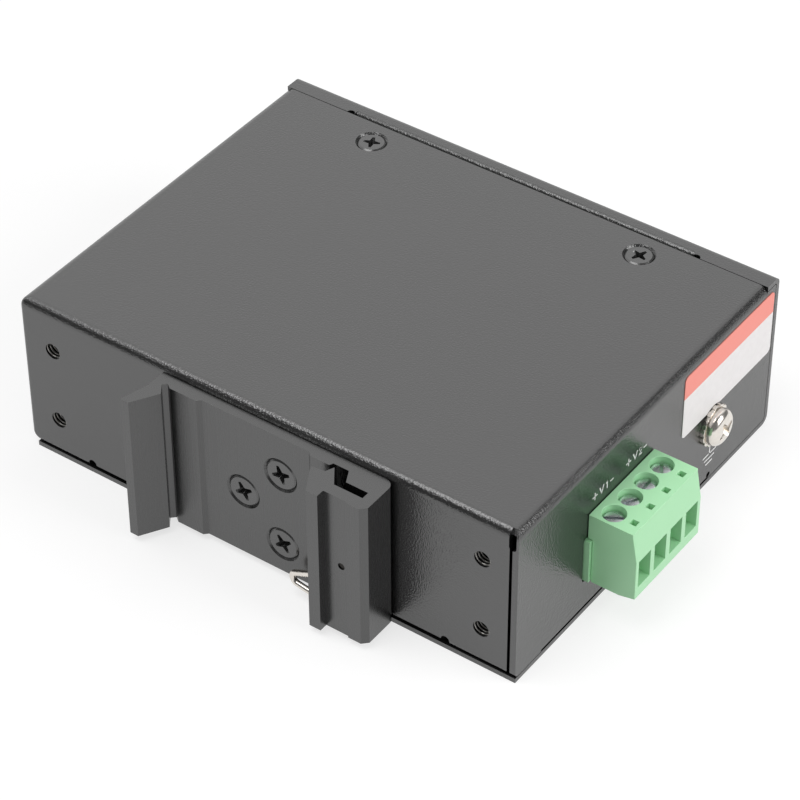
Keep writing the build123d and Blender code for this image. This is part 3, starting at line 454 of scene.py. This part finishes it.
screw_row = screw_tree()
roof_screw = countersunk("roof_screw", head=2.7 * mm, shank=1.45 * mm, length=5.0 * mm)
roof_screws = point_piece("roof_screws", [
    (side * roof_screw_x, roof_screw_y, roof_z - roof_screw_sink) for side in (-1, 1)
])
grow(roof_screws, screw_row, Screw=roof_screw, Lean=(0.0, 0.0, 0.0), Least=-0.5, Most=0.7, Seed=4,
     Finish=black_zinc.material)
bpy.data.objects.remove(roof_screw)
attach(roof_screws, "housing")
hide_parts("cover_screws")
finish_with(roof_screws, black_zinc)

clip_screw = countersunk("clip_screw", head=3.2 * mm, shank=1.7 * mm, length=6.0 * mm)
clip_screws = point_piece("rail_clip_screws", [(x, clip_plate_y, z) for x, z in clip_screw_places])
grow(clip_screws, screw_row, Screw=clip_screw, Lean=(pi / 2, 0.0, 0.0), Least=0.35, Most=0.6, Seed=9,
     Finish=black_zinc.material)
bpy.data.objects.remove(clip_screw)
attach(clip_screws, "housing")
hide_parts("clip_screws")
finish_with(clip_screws, black_zinc)

# Rail clip.
# An aluminium extrusion sawn to length and anodised black, with faint die lines along its length.
anodised = Finish("black_anodised", IOR=1.95)
die_lines = anodised.noise(2600.0, stretch=(1.0, 1.0, 0.02))
anodised.set("Base Color", anodised.blend(anodised.noise(70.0), shade(18, 18, 18), shade(26, 26, 26)))
anodised.set("Roughness", 0.22 + 0.1 * die_lines)
anodised.relief(die_lines, 0.0015 * mm)
finish_with(welded("din_clip", 0.15 * mm), anodised)

# Spring of the rail clip.
# Nickel-plated spring wire: hooked into the block, down its channel and out into the groove. Its
# end face in the pin hole is coloured dark: painted shade standing in for the hole's shadow.
painted_shade_y = -50.25 * mm


def nickel_plate(name):
    """Bright nickel plate with light wear: the finish and its colour."""
    plate = Finish(name, Metallic=1.0)
    wear = plate.noise(1200.0, detail=3.0)
    return plate, plate.vary(wear, shade(218, 212, 204), shade(236, 231, 224), 0.12, 0.26)


spring_nickel, plated = nickel_plate("spring_nickel")
# Painted shade: the wire's end face past this Y, inside the pin hole, is coloured dark.
wire_y = spring_nickel.node("ShaderNodeSeparateXYZ", {}, {0: spring_nickel.place()}, "Y")
spring_nickel.set("Base Color", spring_nickel.blend(wire_y < painted_shade_y, plated, shade(46, 44, 42)))
finish_with(welded("clip_spring_wire"), spring_nickel)

# Earth screw.
# An M4 pan-head screw in bright nickel plate on a toothed washer, in a press-in zinc nut.
wall_x = 54.0 * mm
earth_y = 20.7 * mm
earth_z = 14.3 * mm
earth_turn = Matrix.Rotation(0.5, 4, "Z")
washer_thickness = 0.9 * mm
head_radius = 3.7 * mm
head_height = 2.2 * mm
head_edge = 0.15 * mm
rim_height = 0.6 * mm
crown_share = 0.42
shank_radius = 1.95 * mm
shank_length = 8.0 * mm
shank_tip = 0.3 * mm

pan_head = [
    (0, -shank_length), (shank_radius - shank_tip, -shank_length), (shank_radius, shank_tip - shank_length),
    (shank_radius, 0), (head_radius - head_edge, 0), (head_radius, head_edge),
]
for degrees in range(0, 91, 10):
    across = crown_share + (1 - crown_share) * cos(radians(degrees))
    pan_head.append((head_radius * across, rim_height + (head_height - rim_height) * sin(radians(degrees))))
pan_head.append((0, head_height + 0.1 * mm))
earth_screw = stored(turned_mesh(pan_head, steps=64), "earth_screw")
cut(earth_screw, stored(cross_bit(2.3 * mm, 1.7 * mm, lift=head_height), "earth_bit"), 0.08 * mm)
outwards = Matrix.Rotation(pi / 2, 4, "Y") @ earth_turn
earth_screw.data.transform(Matrix.Translation((wall_x + washer_thickness, earth_y, earth_z)) @ outwards)
nickel, _ = nickel_plate("nickel_plate")
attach(earth_screw, "housing")
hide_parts("ground_screw")
finish_with(earth_screw, nickel)
finish_with(welded("ground_washer", 0.08 * mm), nickel)

zinc = Finish("zinc_plate", Metallic=1.0)
zinc.vary(zinc.noise(500.0, detail=3.0), shade(196, 200, 203), shade(222, 225, 227), 0.2, 0.36)
zinc.relief(zinc.noise(3000.0, stretch=(0.15, 1.0, 1.0)), 0.006 * mm)
finish_with(welded("ground_nut"), zinc)

# Side label.
# A film sticker on the right-hand wall, above the earth screw, printed with a salmon band over a
# pale field.
band_z = 27.3 * mm
film = Finish("label_film")
film_height = film.node("ShaderNodeSeparateXYZ", {}, {0: film.place()}, "Z")
pale = film.vary(film.noise(800.0), shade(232, 228, 228), shade(243, 240, 240), 0.3, 0.4)
film.set("Base Color", film.blend(film_height > band_z, pale, shade(250, 142, 128)))
finish_with(frame["nodes"]["side_label"], film)

# Printed marks.
# White ink on the right-hand wall: the outputs' polarity and the earth sign. Strokes are runs of
# (y, z) points in millimetres.
print_x = wall_x + 0.02 * mm
ink = Finish("white_ink")
ink.vary(ink.noise(1500.0), shade(232, 232, 232), shade(250, 250, 250), 0.4, 0.5)


def printed(name, strokes, width):
    """Flat strokes of ink on the right-hand wall."""
    shape = bmesh.new()
    for run in strokes:
        for (y0, z0), (y1, z1) in zip(run, run[1:]):
            along = Vector((0, y1 - y0, z1 - z0)).normalized() * (width / 2)
            across = Vector((0, -along.z, along.y))
            start = Vector((0, y0, z0)) - along
            end = Vector((0, y1, z1)) + along
            corners = (start - across, end - across, end + across, start + across)
            shape.faces.new([shape.verts.new(corner * mm + Vector((print_x, 0, 0))) for corner in corners])
    shape.normal_update()
    for face in shape.faces:
        if face.normal.x < 0:
            face.normal_flip()
    piece = stored(shape, name)
    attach(piece, "housing")
    finish_with(piece, ink)


def polarity(plus, digit):
    """Plus sign, letter, digit and minus sign of one output, from the plus sign's place."""
    base = 25.05
    tall = 1.5
    middle = base + tall / 2
    letter = plus + 2.1
    number = plus + 3.75
    minus = plus + 5.3
    plus_arm = 0.65
    plus_stem = 0.7
    letter_arm = 0.6
    minus_arm = 0.38
    return [
        [(plus - plus_arm, middle), (plus + plus_arm, middle)],
        [(plus, middle - plus_stem), (plus, middle + plus_stem)],
        [(letter - letter_arm, base + tall), (letter, base), (letter + letter_arm, base + tall)],
        [(number + y, base + z) for y, z in digit],
        [(minus - minus_arm, middle), (minus + minus_arm, middle)],
    ]


one = [(-0.25, 1.2), (0.1, 1.5), (0.1, 0.0)]
two = [(-0.4, 1.2), (-0.25, 1.45), (0.1, 1.5), (0.4, 1.3), (0.4, 1.0), (-0.4, 0.0), (0.45, 0.0)]
printed("polarity_marks", polarity(-18.6, one) + polarity(-7.95, two), width=0.26)
printed("earth_mark", [
    [(20.7, 10.0), (20.7, 7.2)],
    [(18.55, 7.2), (22.85, 7.2)],
    [(19.1, 6.15), (22.3, 6.15)],
    [(19.7, 5.1), (21.7, 5.1)],
], width=0.3)

# Terminal block.
# Light green glass-filled nylon mouldings: a header soldered to the board and the plug that slides
# into it, both satin, with tin-plated pins and contacts.
nylon = Finish("green_nylon", IOR=1.65)
nylon.vary(nylon.noise(160.0, detail=3.0), shade(167, 228, 175), shade(176, 233, 183), 0.3, 0.4)
nylon.relief(nylon.noise(3500.0), 0.01 * mm)
finish_with(welded("terminal_header", 0.08 * mm), nylon)
finish_with(welded("terminal_plug", 0.1 * mm), nylon)

tin = Finish("tin_plate", Metallic=1.0)
tin.vary(tin.noise(700.0), shade(196, 192, 184), shade(214, 210, 204), 0.3, 0.45)
for node in ("header_pins", "plug_contacts"):
    finish_with(welded(node), tin)


# Clamp screws and cages.
# Zinc-plated slotted screws at the bottom of the wells. Each lifts its own cage, which presses the
# wire against the contact.
def slotted_screw(name, length, turn):
    """A slotted screw along Z with the edge of its crown at Z 0."""
    shank = 1.45 * mm
    point = 0.25 * mm
    head = 1.95 * mm
    head_depth = 1.9 * mm
    under_edge = 0.02 * mm
    shoulder = 0.3 * mm
    slot_size = (5.0 * mm, 0.6 * mm, 1.8 * mm)
    profile = [
        (0, -length), (shank - point, -length), (shank, point - length), (shank, -head_depth),
        (head - under_edge, -head_depth), (head, under_edge - head_depth), (head, -shoulder),
        (1.86 * mm, -0.12 * mm), (1.7 * mm, -0.03 * mm), (1.4 * mm, 0), (0, 0.03 * mm),
    ]
    screw = stored(turned_mesh(profile), name)
    slot = bmesh.new()
    bmesh.ops.create_cube(slot, size=1.0, matrix=Matrix.Diagonal(slot_size + (1.0,)))
    cutter = stored(slot, name + "_slot")
    cutter.data.transform(Matrix.Rotation(turn, 4, "Z"))
    cut(screw, cutter, 0.05 * mm)
    return screw


for number in range(1, 5):
    low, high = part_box(f"clamp_screw_{number}")
    screw = slotted_screw(f"slotted_screw_{number}", high.z - low.z, radians(30 * number))
    screw.data.transform(Matrix.Translation(((low.x + high.x) / 2, (low.y + high.y) / 2, high.z)))
    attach(screw, f"clamp_screw_{number}")
    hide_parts(f"clamp_screw_{number}")
    finish_with(screw, zinc)
    finish_with(welded(f"clamp_cage_{number}", 0.06 * mm), zinc)

# Network sockets.
# Nickel shield cans with black moulded inserts and gold-plated contact wires.
moulding = Finish("black_moulding")
moulding_grain = moulding.noise(2500.0)
moulding.vary(moulding_grain, shade(34, 34, 35), shade(46, 46, 47), 0.44, 0.58)
moulding.relief(moulding_grain, 0.01 * mm)
gold = Finish("gold_plate", Metallic=1.0)
gold.vary(gold.noise(900.0), shade(222, 178, 92), shade(238, 198, 118), 0.2, 0.32)
for number in (1, 2):
    finish_with(welded(f"jack_shield_{number}", 0.08 * mm), nickel)
    finish_with(welded(f"jack_insert_{number}", 0.08 * mm), moulding)
    finish_with(welded(f"jack_contacts_{number}"), gold)

# Status lamps.
# Clear round lamps in the front panel, each in a black holder.
lens = Finish("lamp_lens")
lens.vary(lens.noise(600.0), shade(180, 205, 180), shade(206, 222, 204), 0.1, 0.22)
finish_with(welded("status_lamps"), lens)
finish_with(welded("lamp_holders", 0.15 * mm), moulding)

# Circuit board.
# Glass-epoxy laminate under a green solder mask, on four zinc standoffs with pan-head screws.
mask = Finish("solder_mask")
gap_share = 0.06
between_tracks = mask.node("ShaderNodeTexVoronoi", {"distance": "MANHATTAN", "feature": "DISTANCE_TO_EDGE"}, {
    "Vector": mask.place(), "Scale": 320.0,
}, "Distance") < gap_share
mask.set("Base Color", mask.blend(between_tracks, shade(20, 92, 48), shade(34, 120, 62)))
mask.set("Roughness", 0.26 + 0.1 * mask.noise(700.0))
finish_with(welded("circuit_board"), mask)
finish_with(welded("board_standoffs", 0.1 * mm), zinc)
finish_with(welded("board_screws"), zinc)

# Power parts on the board.
# Ferrite cores and chokes, a taped winding, sleeved capacitors and black moulded packages.
ferrite = Finish("ferrite")
ferrite_grain = ferrite.noise(1800.0, detail=3.0)
ferrite.vary(ferrite_grain, shade(58, 57, 56), shade(78, 76, 74), 0.62, 0.82)
ferrite.relief(ferrite_grain, 0.04 * mm)
tape = Finish("winding_tape")
tape_layers = tape.noise(1800.0, stretch=(0.1, 0.1, 1.0))
tape.vary(tape_layers, shade(214, 168, 48), shade(232, 190, 72), 0.26, 0.38)
sleeve = Finish("capacitor_sleeve")
sleeve.vary(sleeve.noise(400.0), shade(28, 32, 52), shade(38, 44, 68), 0.24, 0.38)
power_parts = (
    (moulding, "black_moulding", ("rectifier_bridges", "switching_chips")),
    (moulding, "black_moulding", ("line_transformer_1", "line_transformer_2")),
    (ferrite, "ferrite", ("transformer_core", "output_choke_1", "output_choke_2", "chip_components")),
    (tape, "winding", ("transformer_winding",)),
    (sleeve, "can", ("input_capacitors", "output_capacitors")),
)
for finish, slot, nodes in power_parts:
    for node in nodes:
        finish_with(welded(node), finish)

# Studio.
# A white floor that keeps the object's shadow, a white surround, soft lamps and the camera. Glossy
# surfaces see the white floor and a bright ceiling, which falls off towards the far side walls.
floor_size = 3.0
ground = Finish("studio_floor")
ground_out = ground.tree.nodes["Material Output"]
ground.tree.nodes.remove(ground.shader)
floor_reach = ground.node("ShaderNodeVectorMath", {"operation": "LENGTH"}, {0: ground.place()}, "Value")
far_white = ground.node("ShaderNodeMapRange", {}, {
    "Value": floor_reach, "From Min": 0.2, "From Max": 0.8, "To Min": 0.0, "To Max": 0.4,
})
seen = sum(share * ground.node("ShaderNodeLightPath", output=ray) for ray, share in (
    ("Is Camera Ray", 0.42 + far_white), ("Is Glossy Ray", 0.4), ("Is Transmission Ray", 0.5),
))
paper = ground.node("ShaderNodeBsdfDiffuse", {}, {"Color": (0.62, 0.62, 0.62, 1.0)})
glow = ground.node("ShaderNodeEmission", {}, {"Color": (1.0, 1.0, 1.0, 1.0), "Strength": 1.65})
ground_mix = ground.node("ShaderNodeMixShader", {}, {0: seen, 1: paper, 2: glow})
ground.feed(ground_out.inputs["Surface"], ground_mix)
floor_sheet = bmesh.new()
bmesh.ops.create_grid(floor_sheet, x_segments=1, y_segments=1, size=floor_size)
floor = stored(floor_sheet, "studio_floor")
floor.data.materials.append(ground.material)

ceiling = Vector((-0.55, 0.45, 0.70)).normalized()
plain_level = 0.46
world = bpy.data.worlds.new("studio")
bpy.context.scene.world = world
world.use_nodes = True
sky = Graph(world.node_tree)
sky_way = sky.node("ShaderNodeTexCoord", output="Generated")
towards = sky.node("ShaderNodeVectorMath", {"operation": "DOT_PRODUCT"}, {0: sky_way, 1: ceiling}, "Value")
gloss_level = sky.node("ShaderNodeMapRange", {"interpolation_type": "SMOOTHSTEP"}, {
    "Value": towards, "From Min": 0.45, "From Max": 0.8, "To Min": 0.18, "To Max": 1.2,
})
in_view = sky.node("ShaderNodeLightPath", output="Is Camera Ray")
in_gloss = sky.node("ShaderNodeLightPath", output="Is Glossy Ray")
in_glass = sky.node("ShaderNodeLightPath", output="Is Transmission Ray")
sky_level = in_view + in_glass + in_gloss * gloss_level + (1.0 - in_view - in_glass - in_gloss) * plain_level
background = sky.tree.nodes["Background"]
background.inputs["Color"].default_value = (1.0, 1.0, 1.0, 1.0)
sky.feed(background.inputs["Strength"], sky_level)


def softbox(name, place, size, watts):
    """A square area lamp that faces the middle of the object."""
    light = bpy.data.lights.new(name, "AREA")
    light.shape = "SQUARE"
    light.size = size
    light.energy = watts
    facing = Vector((0, 0, 0.02)) - Vector(place)
    added(name, light).matrix_world = (
        Matrix.Translation(place) @ facing.to_track_quat("-Z", "Y").to_matrix().to_4x4()
    )


softbox("key_lamp", (-0.13, -0.25, 0.75), size=0.45, watts=2.3)
softbox("fill_lamp", (0.7, 0.15, 0.45), size=0.5, watts=3.4)

camera_data = bpy.data.cameras.new("camera")
camera_data.sensor_width = 36.0
camera_data.lens = 145.15
camera = added("camera", camera_data)
camera.location = (0.264147, -0.367406, 0.395936)
camera.rotation_euler = (0.861564, 0.003139, 0.620976)
bpy.context.scene.camera = camera
bpy.context.scene.view_settings.view_transform = "Standard"
